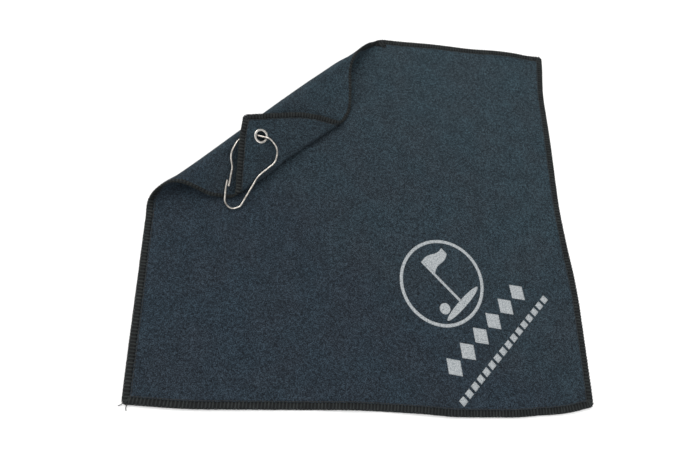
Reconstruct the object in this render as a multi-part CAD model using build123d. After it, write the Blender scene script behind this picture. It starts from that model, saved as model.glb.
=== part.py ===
"""Golf towel with an eyelet and a spring-wire hook, lying flat with its hook corner folded over twice.

Axes: +X to the right and +Y to the back of the towel as it lies, +Z up. The origin is on the
resting plane, under the centre of the towel. All sizes are millimetres.
"""
from build123d import *
import os
from math import cos, radians, sin, sqrt

# Towel cloth and its overlocked edging
towel_width = 400.0
towel_depth = 374.0
cloth_thickness = 1.6
corner_radius = 3.0
smallest_corner_radius = 0.5
edging_width = 5.5
thread_thickness = 0.4
needle_row_gap = 0.2
needle_row_width = 0.7
needle_row_height = 0.25

# First fold: a loose roll square to the corner's diagonal, then a flap sloping down to the cloth
fold_start = 153.5
roll_radius = 8.5
roll_turn = 203.0
flap_length = 34.5
flap_start_left = -114.0
flap_start_right = 98.0
flap_end_left = -88.0
flap_end_right = 58.0
roll_end_steps = 13

# Second fold: a tight bend the other way, then the tip standing up over the flap
tip_bend_radius = 3.0
tip_slope = 31.0
tip_base_left = -82.0
tip_base_right = 41.0
tip_height = 52.0
tip_corner_offset = -35.6

# Eyelet in the tip: distance up the tip from the bend, and place along the fold
eyelet_up_tip = 28.4
eyelet_along_fold = -33.6
eyelet_hole_radius = 4.6
eyelet_wall = 0.3
eyelet_flange_radius = 6.7
eyelet_flange_thickness = 0.5
eyelet_lip_radius = 0.4
washer_radius = 6.6
washer_thickness = 0.4
fit_clearance = 0.1

# Spring-wire hook: one pear-shaped loop, its ends side by side at the opening
wire_diameter = 1.8
hook_tilt = 20.6
hook_heading = 24.3

# Printed motif, in thin ink, placed from the inner side of the right and front edging
ink_thickness = 0.12
motif_from_right_edging = 128.5
motif_from_front_edging = 104.5
motif_turn = 45.0
ring_radius = 40.0
ring_line = 3.0
flag_pole_height = 52.0
flag_pole_width = 2.4
flag_width = 24.0
flag_height = 16.0
ball_radius = 5.0
ball_from_pole = 16.0
green_width = 44.0
green_height = 7.0
diamond_count = 6
diamond_row_length = 112.0
diamond_width = 15.6
diamond_height = 20.0
diamond_row_drop = 56.0
dash_count = 16
dash_row_length = 130.0
dash_width = 5.7
dash_height = 6.0
dash_row_drop = 79.0

# Worked out from the sizes above
cloth_bottom = thread_thickness
cloth_top = cloth_bottom + cloth_thickness
cloth_middle = cloth_bottom + cloth_thickness / 2
half_cloth = cloth_thickness / 2
edging_thickness = cloth_thickness + 2 * thread_thickness
flap_slope = roll_turn - 180
roll_centre = Vector(fold_start, 0, cloth_middle + roll_radius)
flap_start = roll_centre + Vector(sin(radians(flap_slope)), 0, cos(radians(flap_slope))) * roll_radius
flap_direction = Vector(cos(radians(flap_slope)), 0, -sin(radians(flap_slope)))
flap_end = flap_start + flap_direction * flap_length
bend_centre = flap_end + Vector(sin(radians(flap_slope)), 0, cos(radians(flap_slope))) * tip_bend_radius
tip_start = bend_centre + Vector(sin(radians(tip_slope)), 0, cos(radians(tip_slope))) * tip_bend_radius
fold_reach = 2 * towel_width
cut_margin = 1.0

# The fold frame: X away from the folded corner along the diagonal, Y along the fold, Z up
fold_frame = Plane(
    origin=(-towel_width / 2, towel_depth / 2, 0),
    x_dir=(1 / sqrt(2), -1 / sqrt(2), 0),
    z_dir=(0, 0, 1),
)


def flap_plane():
    """The flap's plane, X along the fold, Y down the flap, face side down, in the fold frame."""
    face_side = Vector(-sin(radians(flap_slope)), 0, -cos(radians(flap_slope)))
    return Plane(origin=flap_start, x_dir=(0, 1, 0), z_dir=face_side)


def tip_plane():
    """The tip's plane, X along the fold, Y up the tip, face side up, in the fold frame."""
    face_side = Vector(sin(radians(tip_slope)), 0, cos(radians(tip_slope)))
    return Plane(origin=tip_start, x_dir=(0, 1, 0), z_dir=face_side)


def slab(plane, corners, thickness):
    """A flat sheet of the given thickness, centred on the plane."""
    outline = make_face(Polyline(*corners, close=True))
    return plane * extrude(outline, thickness / 2, both=True)


def flap_corners():
    """The flap's outline in its own plane, where X runs along the fold."""
    return [
        (flap_start_left, 0),
        (flap_start_right, 0),
        (flap_end_right, flap_length),
        (flap_end_left, flap_length),
    ]


def tip_corners():
    """The tip's outline in its own plane, where X runs along the fold."""
    return [(tip_base_left, 0), (tip_base_right, 0), (tip_corner_offset, tip_height)]


def towel_outline(grow):
    """The whole towel's outline before it is folded, grown or shrunk by a margin."""
    radius = max(corner_radius + grow, smallest_corner_radius)
    return RectangleRounded(towel_width + 2 * grow, towel_depth + 2 * grow, radius)


def beyond_fold():
    """The space on the folded corner's side of the first fold."""
    block = Pos(fold_start - fold_reach / 2, 0, 0) * Box(fold_reach, fold_reach, fold_reach)
    return fold_frame * block


def towel_panel():
    """The part of the cloth that lies flat."""
    sheet = Pos(0, 0, cloth_bottom) * extrude(towel_outline(0), cloth_thickness)
    return sheet - beyond_fold()


def edging_ring():
    """The overlock all round the flat cloth, over and under its edge."""
    outer = extrude(towel_outline(thread_thickness), edging_thickness)
    inner = extrude(towel_outline(-edging_width), edging_thickness)
    sheet = Pos(0, 0, cloth_bottom) * extrude(towel_outline(0), cloth_thickness)
    return outer - inner - sheet - beyond_fold()


def needle_ring():
    """The straight stitches just inside the overlock, on the cloth's face."""
    outside = towel_outline(-edging_width - needle_row_gap)
    inside = towel_outline(-edging_width - needle_row_gap - needle_row_width)
    return Pos(0, 0, cloth_top) * extrude(outside - inside, needle_row_height) - beyond_fold()


def side_region(side):
    """The wedge of the towel nearest one side, so that the corners are mitred."""
    half_x = towel_width / 2 + edging_width
    half_y = towel_depth / 2 + edging_width
    inset = half_x - half_y
    far_corners = {
        "bottom": [(-half_x, -half_y), (half_x, -half_y), (inset, 0), (-inset, 0)],
        "top": [(half_x, half_y), (-half_x, half_y), (-inset, 0), (inset, 0)],
        "left": [(-half_x, half_y), (-half_x, -half_y), (-inset, 0)],
        "right": [(half_x, -half_y), (half_x, half_y), (inset, 0)],
    }
    face = make_face(Polyline(*far_corners[side], close=True))
    return Pos(0, 0, -cut_margin) * extrude(face, edging_thickness + 2 * cut_margin)


def strip(start, end, inner, outer, inside_sign):
    """A straight strip beside the line from start to end, from inner to outer distance inwards."""
    line = Vector(*end) - Vector(*start)
    inwards = Vector(-line.Y, line.X).normalized() * inside_sign
    near = inwards * inner
    far = inwards * outer
    corners = [Vector(*start) + near, Vector(*end) + near, Vector(*end) + far, Vector(*start) + far]
    return make_face(Polyline(*[(c.X, c.Y) for c in corners], close=True))


def trimmed(start, end, start_margin, end_margin):
    """The line from start to end, shortened at both ends."""
    run = (Vector(*end) - Vector(*start)).normalized()
    first = Vector(*start) + run * start_margin
    last = Vector(*end) - run * end_margin
    return (first.X, first.Y), (last.X, last.Y)


def overlock_strip(plane, start, end, inside_sign):
    """The overlock on one free edge of a folded sheet, over and under the cloth."""
    face = strip(start, end, -thread_thickness, edging_width, inside_sign)
    return plane * extrude(face, edging_thickness / 2, both=True) - folded_corner()


def needle_strip(plane, start, end, inside_sign):
    """The straight stitches beside the overlock on one free edge of a folded sheet."""
    inner = edging_width + needle_row_gap
    face = strip(start, end, inner, inner + needle_row_width, inside_sign)
    raised = Pos(0, 0, half_cloth) * extrude(face, needle_row_height)
    return plane * raised


def roll_solid():
    """The loose roll of the first fold, with its ends cut along the towel's edges."""
    outer_radius = roll_radius + half_cloth
    inner_radius = roll_radius - half_cloth
    ring = Circle(outer_radius) - Circle(inner_radius)
    start_side = make_face(
        Polyline(
            (0, 0),
            (0, -fold_reach),
            (-fold_reach, -fold_reach),
            (-fold_reach, fold_reach),
            (0, fold_reach),
            close=True,
        )
    )
    past_top = make_face(
        Polyline(
            (0, 0),
            (0, fold_reach),
            (fold_reach * sin(radians(flap_slope)), fold_reach * cos(radians(flap_slope))),
            close=True,
        )
    )
    section = ring & (start_side + past_top)
    section_plane = Plane(origin=roll_centre, x_dir=(1, 0, 0), z_dir=(0, -1, 0))
    roll = extrude(section_plane * section, fold_start, both=True)
    left = []
    right = []
    for step in range(roll_end_steps):
        turned = step / (roll_end_steps - 1) * 180
        share = turned / roll_turn
        height = cloth_bottom + (roll_radius + half_cloth) * (1 - cos(radians(turned)))
        left.append((-fold_start + (fold_start + flap_start_left) * share, height))
        right.append((fold_start - (fold_start - flap_start_right) * share, height))
    ends = make_face(Polyline(*left, *reversed(right), close=True))
    end_plane = Plane(origin=(0, 0, 0), x_dir=(0, 1, 0), z_dir=(1, 0, 0))
    return roll & (end_plane * extrude(ends, fold_reach / 2))


def bend_solid():
    """The tight bend between the flap and the tip."""
    ring = Circle(tip_bend_radius + half_cloth) - Circle(tip_bend_radius - half_cloth)
    wedge = make_face(
        Polyline(
            (0, 0),
            (-fold_reach * sin(radians(flap_slope)), -fold_reach * cos(radians(flap_slope))),
            (fold_reach, -fold_reach),
            (fold_reach, fold_reach),
            (fold_reach * sin(radians(tip_slope)), fold_reach * cos(radians(tip_slope))),
            close=True,
        )
    )
    section_plane = Plane(origin=bend_centre, x_dir=(1, 0, 0), z_dir=(0, -1, 0))
    bend = extrude(section_plane * (ring & wedge), fold_start, both=True)
    ends = make_face(
        Polyline(
            (flap_end_left, flap_end.Z - fold_reach),
            (flap_end_right, flap_end.Z - fold_reach),
            (flap_end_right, flap_end.Z),
            (tip_base_right, tip_start.Z),
            (tip_base_right, tip_start.Z + fold_reach),
            (tip_base_left, tip_start.Z + fold_reach),
            (tip_base_left, tip_start.Z),
            (flap_end_left, flap_end.Z),
            close=True,
        )
    )
    end_plane = Plane(origin=(0, 0, 0), x_dir=(0, 1, 0), z_dir=(1, 0, 0))
    return bend & (end_plane * extrude(ends, fold_reach / 2))


def eyelet_plane():
    """The middle of the cloth at the eyelet, facing out of the tip's face side, in the fold frame."""
    tip = tip_plane()
    centre = tip.from_local_coords((eyelet_along_fold, eyelet_up_tip, 0))
    return Plane(origin=centre, x_dir=tip.x_dir, z_dir=tip.z_dir)


def tip_sheet():
    """The flat triangular tip, before the eyelet's hole is punched."""
    return slab(tip_plane(), tip_corners(), cloth_thickness)


def folded_corner():
    """All of the cloth past the first fold, in one piece, with the eyelet's hole."""
    flap = slab(flap_plane(), flap_corners(), cloth_thickness)
    hole_radius = eyelet_hole_radius + eyelet_wall + fit_clearance
    hole = eyelet_plane() * Cylinder(hole_radius, cloth_thickness + 2 * cut_margin)
    return roll_solid() + flap + bend_solid() + (tip_sheet() - hole)


def eyelet_barrel():
    """The eyelet's tube with its rounded flange on the face and its curl behind the washer."""
    top = half_cloth + eyelet_flange_thickness
    bottom = -(half_cloth + washer_thickness)
    tube_radius = eyelet_hole_radius + eyelet_wall
    profile = make_face(
        Polyline(
            (eyelet_hole_radius, bottom - eyelet_wall),
            (tube_radius + 2 * eyelet_wall, bottom - eyelet_wall),
            (tube_radius + 2 * eyelet_wall, bottom),
            (tube_radius, bottom),
            (tube_radius, half_cloth),
            (eyelet_flange_radius, half_cloth),
            (eyelet_flange_radius, top),
            (eyelet_hole_radius, top),
            close=True,
        )
    )
    lip = profile.vertices().sort_by_distance((eyelet_hole_radius, top, 0))[0]
    rim = profile.vertices().sort_by_distance((eyelet_flange_radius, top, 0))[0]
    profile = fillet([lip, rim], eyelet_lip_radius)
    turned = revolve(Plane.XZ * profile, Axis.Z)
    return eyelet_plane() * turned


def eyelet_washer():
    """The plain washer that the eyelet is clinched over, behind the cloth."""
    inner = eyelet_hole_radius + eyelet_wall + fit_clearance
    ring = Circle(washer_radius) - Circle(inner)
    plate = Pos(0, 0, -half_cloth - washer_thickness) * extrude(ring, washer_thickness)
    return eyelet_plane() * plate


def hook_plane():
    """The hook's own frame: origin in the eyelet, X level, Y up the slope that the hook lies on."""
    centre = (fold_frame * Location(eyelet_plane().origin)).position
    level = Vector(cos(radians(hook_heading)), sin(radians(hook_heading)), 0)
    lean = Vector(sin(radians(hook_heading)), -cos(radians(hook_heading)), 0) * sin(radians(hook_tilt))
    return Plane(origin=centre, x_dir=level, z_dir=lean + Vector(0, 0, cos(radians(hook_tilt))))


def wire(points, radii):
    """Round wire along straight runs joined by arcs, in the hook's frame."""
    path = FilletPolyline(*points, radius=radii)
    section = Plane(origin=path @ 0, z_dir=path % 0) * Circle(wire_diameter / 2)
    return hook_plane() * sweep(section, path=path)


def hook_points():
    """The fixed wire from the left shoulder, through the eyelet, round to the catch end."""
    return [
        (-20.0, 2.6, 0),
        (-7.8, 5.2, -3.4),
        (6.6, -4.4, 3.0),
        (11.6, -16.0, 0.5),
        (4.5, -26.6, 0),
        (-14.4, -33.4, 0),
        (-39.4, -54.6, 0),
        (-48.0, -54.0, 0),
        (-51.0, -46.5, 0),
        (-46.2, -35.8, 0),
        (-41.8, -28.0, 0),
    ]


def hook_radii():
    """The bend at each inner point of the fixed wire."""
    return [9.0, 8.0, 9.0, 9.0, 12.0, 5.0, 3.5, 5.0, 8.0]


def latch_points():
    """The springy leg from the left shoulder down to its free end, inside the catch."""
    return [(-22.0, 1.6, 0), (-31.6, -7.0, 0), (-33.6, -18.6, 0), (-42.8, -34.3, 0)]


def latch_radii():
    """The bend at each inner point of the springy leg."""
    return [14.0, 10.0]


def hook_wire():
    """The fixed part of the hook."""
    return wire(hook_points(), hook_radii())


def hook_latch_leg():
    """The part of the same wire that springs inwards to open the hook."""
    return wire(latch_points(), latch_radii())


def motif_frame():
    """The print's frame on the cloth's face: X along its rows, Y up the motif."""
    x = towel_width / 2 - edging_width - motif_from_right_edging
    y = edging_width + motif_from_front_edging - towel_depth / 2
    return Plane(origin=(x, y, cloth_top)).rotated((0, 0, motif_turn))


def ring_face():
    """The plain ring round the flag."""
    return Circle(ring_radius) - Circle(ring_radius - ring_line)


def flag_face():
    """A flag on its pole, on a low green, with a ball beside it."""
    foot = -flag_pole_height / 2
    pole = Rectangle(flag_pole_width, flag_pole_height)
    top = flag_pole_height / 2
    pennant = make_face(
        Polyline((0, top), (flag_width, top - flag_height / 2), (0, top - flag_height), close=True)
    )
    green = Pos(0, foot) * Ellipse(green_width / 2, green_height / 2)
    ball = Pos(-ball_from_pole, foot + ball_radius + green_height / 2) * Circle(ball_radius)
    return pole + pennant + green + ball


def diamond_faces():
    """A row of argyle diamonds under the ring."""
    pitch = diamond_row_length / diamond_count
    half_width = diamond_width / 2
    half_height = diamond_height / 2
    faces = []
    for index in range(diamond_count):
        x = (index - (diamond_count - 1) / 2) * pitch
        y = -diamond_row_drop
        points = [
            (x - half_width, y),
            (x, y - half_height),
            (x + half_width, y),
            (x, y + half_height),
        ]
        faces.append(make_face(Polyline(*points, close=True)))
    return faces


def dash_faces():
    """A row of short dashes under the diamonds."""
    pitch = dash_row_length / dash_count
    faces = []
    for index in range(dash_count):
        x = (index - (dash_count - 1) / 2) * pitch
        faces.append(Pos(x, -dash_row_drop) * Rectangle(dash_width, dash_height))
    return faces


def printed_motif():
    """The ink of the generic golf motif, every patch a thin solid on the cloth."""
    faces = [ring_face(), flag_face(), *diamond_faces(), *dash_faces()]
    patches = []
    for face in faces:
        patches.extend(extrude(face, ink_thickness).solids())
    return Compound(children=[motif_frame() * patch for patch in patches])


def folded_edging(side):
    """The overlock and straight stitches of one towel edge where it runs over the folded corner."""
    flap = flap_plane()
    tip = tip_plane()
    start_left, start_right, end_right, end_left = flap_corners()
    base_left, base_right, corner = tip_corners()
    clear_of_roll = 2 * edging_width
    clear_of_bend = edging_thickness
    if side == "left":
        flap_line = trimmed(start_left, end_left, clear_of_roll, clear_of_bend)
        tip_line = trimmed(base_left, corner, clear_of_bend, 2 * edging_width)
        inside_sign = -1
    else:
        flap_line = trimmed(start_right, end_right, clear_of_roll, clear_of_bend)
        tip_line = trimmed(base_right, corner, clear_of_bend, 0)
        inside_sign = 1
    overlock = []
    needles = []
    for plane, line in ((flap, flap_line), (tip, tip_line)):
        overlock.append(overlock_strip(plane, *line, inside_sign))
        needles.append(needle_strip(plane, *line, inside_sign))
    return overlock, needles


def save(shape, name):
    """Write one node's STEP file."""
    export_step(shape, f"parts/{name}.step")


def group(shapes):
    """Several separate solids kept together in one node."""
    solids = []
    for shape in shapes:
        solids.extend(shape.solids())
    return Compound(children=solids)


def main():
    """Make every piece and write it out."""
    os.makedirs("parts", exist_ok=True)
    save(towel_panel(), "towel_panel")
    save(fold_frame * folded_corner(), "towel_folded_corner")
    for side in ("bottom", "right", "left", "top"):
        save(group([edging_ring() & side_region(side)]), f"overlock_{side}")
        save(group([needle_ring() & side_region(side)]), f"needle_stitches_{side}")
    for side in ("left", "top"):
        overlock, needles = folded_edging(side)
        save(group([fold_frame * piece for piece in overlock]), f"overlock_{side}_folded")
        save(group([fold_frame * piece for piece in needles]), f"needle_stitches_{side}_folded")
    save(fold_frame * eyelet_barrel(), "eyelet_barrel")
    save(fold_frame * eyelet_washer(), "eyelet_washer")
    save(hook_wire(), "hook_wire")
    save(hook_latch_leg(), "hook_latch_leg")
    save(printed_motif(), "printed_motif")


main()
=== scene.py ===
"""A flat golf towel with its hook corner folded over twice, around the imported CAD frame.

Lengths are millimetres until a mesh is made, where they become metres. The cloth and all that is
sewn to it are laid out flat first, as (x, y, height above the cloth's middle), and lay() then
carries every point over the two folds, so that cloth, threads and ink always follow each other.
"""
import math
import bpy
import numpy as np
from mathutils import Matrix, Vector


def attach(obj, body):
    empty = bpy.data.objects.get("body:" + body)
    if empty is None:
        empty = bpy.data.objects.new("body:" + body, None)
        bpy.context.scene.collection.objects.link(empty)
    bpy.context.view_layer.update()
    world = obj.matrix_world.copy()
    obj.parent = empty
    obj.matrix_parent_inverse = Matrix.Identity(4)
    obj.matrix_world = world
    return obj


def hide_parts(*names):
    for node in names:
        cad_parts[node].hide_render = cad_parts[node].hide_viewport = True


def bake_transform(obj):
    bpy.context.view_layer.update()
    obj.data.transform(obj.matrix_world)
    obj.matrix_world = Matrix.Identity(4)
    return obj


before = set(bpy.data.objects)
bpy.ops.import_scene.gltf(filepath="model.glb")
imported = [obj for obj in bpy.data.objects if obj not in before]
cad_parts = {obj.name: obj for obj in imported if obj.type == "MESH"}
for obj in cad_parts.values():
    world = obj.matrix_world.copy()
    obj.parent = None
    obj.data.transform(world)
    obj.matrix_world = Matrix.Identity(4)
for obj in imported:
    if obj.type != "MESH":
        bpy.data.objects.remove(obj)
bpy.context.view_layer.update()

MM = 0.001
ROOT_2 = math.sqrt(2.0)

# Towel, as cut
TOWEL_WIDTH = 400.0
TOWEL_DEPTH = 374.0
CLOTH_THICKNESS = 1.6
THREAD_THICKNESS = 0.4
CORNER_RADIUS = 3.0
HALF_CLOTH = CLOTH_THICKNESS / 2
INK_TOP = HALF_CLOTH + 0.09
INK_UNDER = HALF_CLOTH - 0.1
CLOTH_MIDDLE = THREAD_THICKNESS + HALF_CLOTH

# First fold: where it leaves the table, its radius and turn, and the flap after it
FOLD_START = 153.5
ROLL_RADIUS = 8.5
ROLL_TURN = math.radians(203.0)
FLAP_LENGTH = 34.5
FLAP_SLOPE = ROLL_TURN - math.pi

# Second fold, the other way, and the tip after it
BEND_RADIUS = 3.0
TIP_SLOPE = math.radians(31.0)
BEND_TURN = math.pi + FLAP_SLOPE - TIP_SLOPE
TIP_HEIGHT = 52.0
TIP_CORNER_ALONG = -35.6

ROLL_ARC = ROLL_RADIUS * ROLL_TURN
BEND_ARC = BEND_RADIUS * BEND_TURN
FLAP_END = ROLL_ARC + FLAP_LENGTH
BEND_END = FLAP_END + BEND_ARC
FOLDED_LENGTH = BEND_END + TIP_HEIGHT
FOLD_EASE = FOLDED_LENGTH / FOLD_START

# How far the folded cloth reaches along the fold, left and right, after each stretch of it
REACH_AT = (0.0, 6.0, 12.0, 18.0, 24.0, ROLL_ARC, 42.0, 54.0, FLAP_END, 69.0, BEND_END)
REACH_AT += (86.0, 98.0, 110.0, FOLDED_LENGTH)
REACH_LEFT = (-FOLD_START, -148.0, -141.5, -130.0, -118.5, -112.6, -106.6, -101.4, -91.0, -86.0, -81.8)
REACH_LEFT += (-72.3, -62.6, -52.2, TIP_CORNER_ALONG)
REACH_RIGHT = (FOLD_START, 146.0, 134.5, 119.5, 106.0, 97.5, 84.0, 70.7, 58.0, 47.0, 41.0)
REACH_RIGHT += (28.5, 13.0, -8.2, TIP_CORNER_ALONG)

# How far the roll's outer side strays inwards from a straight line, at places along the fold
BOW_AT = (-153.0, -145.0, -135.0, -125.0, -110.0, -80.0, 0.0, 43.0, 65.0, 85.0, 105.0, 120.0, 150.0)
BOW_INWARDS = (0.6, 0.0, -1.4, -1.8, 0.0, 0.6, 0.8, 1.5, 2.4, 3.2, 5.6, 5.8, 5.0)

# How the second fold runs askew: outwards past a place on the right, inwards past one on the left
SKEW_RIGHT = 0.075
SKEW_RIGHT_FROM = -25.0
SKEW_LEFT = 0.11
SKEW_LEFT_FROM = -58.0

# The seam between the two cloth pieces, on the outermost line of the roll
SEAM_STEPS = 97
PANEL_STEP = 2.0
CORNER_STEP = 1.0
SEAM_FROM_CORNER = SEAM_STEPS * PANEL_STEP / ROOT_2

# Eyelet
EYELET_UP_TIP = 28.4
EYELET_ALONG_FOLD = -33.6
EYELET_HOLE_RADIUS = 4.6
EYELET_FLANGE_RADIUS = 6.7

# Overlock, sewn a little narrower round the tip
STITCH_PITCH = 2.9
TIP_BAND_NARROWER = 0.2
TIP_BAND_FROM_CORNER = FOLD_START - BEND_END / FOLD_EASE

# The hook's wire
WIRE_RADIUS = 0.9
HOOK_TILT = math.radians(20.6)
HOOK_HEADING = math.radians(24.3)


def ease(t):
    """Smooth step from 0 to 1: 3t^2 - 2t^3."""
    t = np.clip(t, 0.0, 1.0)
    return t * t * (3.0 - 2.0 * t)


def curve_through(x, knots, values):
    """Smooth curve through the knots: cubic Hermite spans with limited mean slopes."""
    knots = np.asarray(knots, float)
    values = np.asarray(values, float)
    spans = np.diff(knots)
    slopes = np.diff(values) / spans
    tangents = np.zeros_like(values)
    tangents[0] = slopes[0]
    tangents[-1] = slopes[-1]
    same_way = slopes[:-1] * slopes[1:] > 0
    tangents[1:-1] = np.where(same_way, 2 * slopes[:-1] * slopes[1:] / (slopes[:-1] + slopes[1:] + 1e-12), 0)
    x = np.clip(x, knots[0], knots[-1])
    i = np.clip(np.searchsorted(knots, x, side="right") - 1, 0, len(spans) - 1)
    h = spans[i]
    t = (x - knots[i]) / h
    a = 2 * t**3 - 3 * t**2 + 1
    b = t**3 - 2 * t**2 + t
    c = -2 * t**3 + 3 * t**2
    d = t**3 - t**2
    return a * values[i] + b * h * tangents[i] + c * values[i + 1] + d * h * tangents[i + 1]


def fold_section(d):
    """Distance from the missing corner and height of the folded cloth's middle, at length d past
    the start of the fold: a circular roll, a straight flap, a circular bend and a straight tip."""
    roll = np.clip(d, 0, ROLL_ARC) / ROLL_RADIUS
    u = FOLD_START - ROLL_RADIUS * np.sin(roll)
    z = ROLL_RADIUS * (1 - np.cos(roll))
    flap = np.clip(d - ROLL_ARC, 0, FLAP_LENGTH)
    u = u + flap * math.cos(FLAP_SLOPE)
    z = z - flap * math.sin(FLAP_SLOPE)
    bend = np.clip(d - FLAP_END, 0, BEND_ARC) / BEND_RADIUS - FLAP_SLOPE
    u = u + BEND_RADIUS * (np.sin(bend) + math.sin(FLAP_SLOPE))
    z = z + BEND_RADIUS * (math.cos(FLAP_SLOPE) - np.cos(bend))
    tip = np.maximum(d - BEND_END, 0)
    return u - tip * math.cos(TIP_SLOPE), z + tip * math.sin(TIP_SLOPE)


def folded_place(d, v):
    """The fold's section at length d, moved by what differs along the fold: the roll's outer side
    is bowed, and the second fold runs a little askew towards the right."""
    u, z = fold_section(d)
    u = u + curve_through(v, BOW_AT, BOW_INWARDS) * ease(d / 10.0) * (1 - ease((d - 18.0) / 22.0))
    skew = ease((d - ROLL_ARC) / FLAP_LENGTH) * (1 - ease((d - BEND_END) / TIP_HEIGHT))
    along = SKEW_RIGHT * np.maximum(v - SKEW_RIGHT_FROM, 0) - SKEW_LEFT * np.maximum(SKEW_LEFT_FROM - v, 0)
    return u + skew * along, z


def edge_sway(x, y):
    """How far the lying towel's outline strays from a true rectangle: each edge has its own slow
    curve, which fades towards the middle of the towel and towards the fold."""
    right_at = (-187, -100, -74, -33, 10, 128, 181, 187)
    right = curve_through(y, right_at, (-0.3, 0.9, -0.2, -3.6, -5.2, -5.2, -1.2, -1))
    bottom_at = (-200, -141, -25, 37, 79, 123, 145, 169, 200)
    bottom_by = (-0.5, -3.8, -4.0, -6.6, -9.4, -9.4, -8.0, -6.4, -0.5)
    bottom = curve_through(x, bottom_at, bottom_by)
    top = curve_through(x, (0, 15, 60, 110, 152, 166, 185, 200), (-1.5, 0.3, 0.8, 0.6, 2.6, 2.4, 0.6, 0.3))
    near_right = np.clip(x / TOWEL_WIDTH + 0.5, 0, 1.02) ** 4
    near_top = np.clip(y / TOWEL_DEPTH + 0.5, 0, 1.02) ** 4
    near_bottom = np.clip(0.5 - y / TOWEL_DEPTH, 0, 1.02) ** 4
    dx = right * near_right
    dy = bottom * near_bottom + top * near_top
    return dx, dy


def panel_waves(x, y):
    """Height of the lying cloth over the table: a few long shallow swells, all zero or above."""
    swell = 0.5 + 0.5 * np.sin(x / 47.0 + 1.3 * np.sin(y / 83.0) + 0.6)
    swell = swell * (0.5 + 0.5 * np.sin(y / 61.0 + 1.1 * np.sin(x / 95.0) + 2.1))
    rim = np.maximum(np.abs(x) / (TOWEL_WIDTH / 2), np.abs(y) / (TOWEL_DEPTH / 2))
    ripple = ease((rim - 0.9) / 0.1) * (0.5 + 0.5 * np.sin(x / 17.0 + y / 21.0 + 1.7 * np.sin(x / 39.0)))
    return 1.3 * swell + 1.1 * ripple


def middle(x, y):
    """The cloth's middle surface over the flat towel's (x, y), after both folds."""
    across = x + TOWEL_WIDTH / 2
    down = TOWEL_DEPTH / 2 - y
    u = (across + down) / ROOT_2
    v = (across - down) / ROOT_2
    d = (FOLD_START - u) * FOLD_EASE
    folded = np.maximum(d, 0)
    reach_left = curve_through(folded, REACH_AT, REACH_LEFT)
    reach_right = curve_through(folded, REACH_AT, REACH_RIGHT)
    share = v / np.maximum(u, 1e-3)
    v_folded = 0.5 * (reach_right + reach_left) + 0.5 * share * (reach_right - reach_left)
    u_folded, z_folded = folded_place(folded, v_folded)
    is_folded = d > 0
    u = np.where(is_folded, u_folded, u)
    v = np.where(is_folded, v_folded, v)
    z = np.where(is_folded, z_folded, 0)
    flat_share = ease((-d) / 45.0)
    dx, dy = edge_sway(x, y)
    wave = panel_waves(x, y) * flat_share
    px = -TOWEL_WIDTH / 2 + (u + v) / ROOT_2 + dx * flat_share
    py = TOWEL_DEPTH / 2 + (v - u) / ROOT_2 + dy * flat_share
    return np.stack([px, py, CLOTH_MIDDLE + z + wave], -1)


def lay(x, y, height):
    """World points for flat towel points: the middle surface plus height along its normal, which
    comes from small steps of the middle surface in x and y."""
    x = np.asarray(x, float)
    y = np.asarray(y, float)
    step = 0.05
    along_x = middle(x + step, y) - middle(x - step, y)
    along_y = middle(x, y + step) - middle(x, y - step)
    normal = np.cross(along_x, along_y)
    normal /= np.linalg.norm(normal, axis=-1, keepdims=True) + 1e-12
    return middle(x, y) + normal * np.asarray(height, float)[..., None]


def from_corner(x, y):
    """How far a flat point lies from the missing corner, along the diagonal."""
    return (x + TOWEL_WIDTH / 2 + TOWEL_DEPTH / 2 - y) / ROOT_2


def make_object(name, points, faces, uv=None):
    """A mesh object at the origin from points in millimetres and a list of face arrays, one array
    for each number of corners, with the flat towel's coordinates as its UV map."""
    mesh = bpy.data.meshes.new(name)
    corners = np.concatenate([f.ravel() for f in faces]).astype(np.int32)
    totals = np.concatenate([np.full(len(f), f.shape[1]) for f in faces]).astype(np.int32)
    starts = np.concatenate([[0], np.cumsum(totals)[:-1]]).astype(np.int32)
    mesh.vertices.add(len(points))
    mesh.vertices.foreach_set("co", (np.asarray(points) * MM).astype(np.float32).ravel())
    mesh.loops.add(len(corners))
    mesh.loops.foreach_set("vertex_index", corners)
    mesh.polygons.add(len(totals))
    mesh.polygons.foreach_set("loop_start", starts)
    mesh.polygons.foreach_set("loop_total", totals)
    mesh.polygons.foreach_set("use_smooth", np.ones(len(totals), bool))
    if uv is not None:
        layer = mesh.uv_layers.new(name="flat_towel")
        layer.data.foreach_set("uv", (np.asarray(uv)[corners] * MM).astype(np.float32).ravel())
    mesh.update()
    mesh.validate()
    piece = bpy.data.objects.new(name, mesh)
    bpy.context.collection.objects.link(piece)
    return piece


def open_edges(faces):
    """The edges that only one face uses, each in that face's direction."""
    pairs = np.concatenate([np.stack([f, np.roll(f, -1, 1)], -1).reshape(-1, 2) for f in faces])
    key = np.sort(pairs, 1)
    code = key[:, 0].astype(np.int64) * (pairs.max() + 1) + key[:, 1]
    _, first, count = np.unique(code, return_index=True, return_counts=True)
    return pairs[first[count == 1]]


def thick_sheet(name, x, y, faces, top, bottom):
    """A closed sheet: the same faces at the top and, turned over, at the bottom height, with a
    wall of quads along every open edge."""
    count = len(x)
    points = np.concatenate([lay(x, y, np.full(count, top)), lay(x, y, np.full(count, bottom))])
    rim = open_edges(faces)
    wall = np.stack([rim[:, 1], rim[:, 0], rim[:, 0] + count, rim[:, 1] + count], -1)
    under = [f[:, ::-1] + count for f in faces]
    flat = np.stack([x, y], -1)
    return make_object(name, points, [*faces, *under, wall], np.concatenate([flat, flat]))


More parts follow.
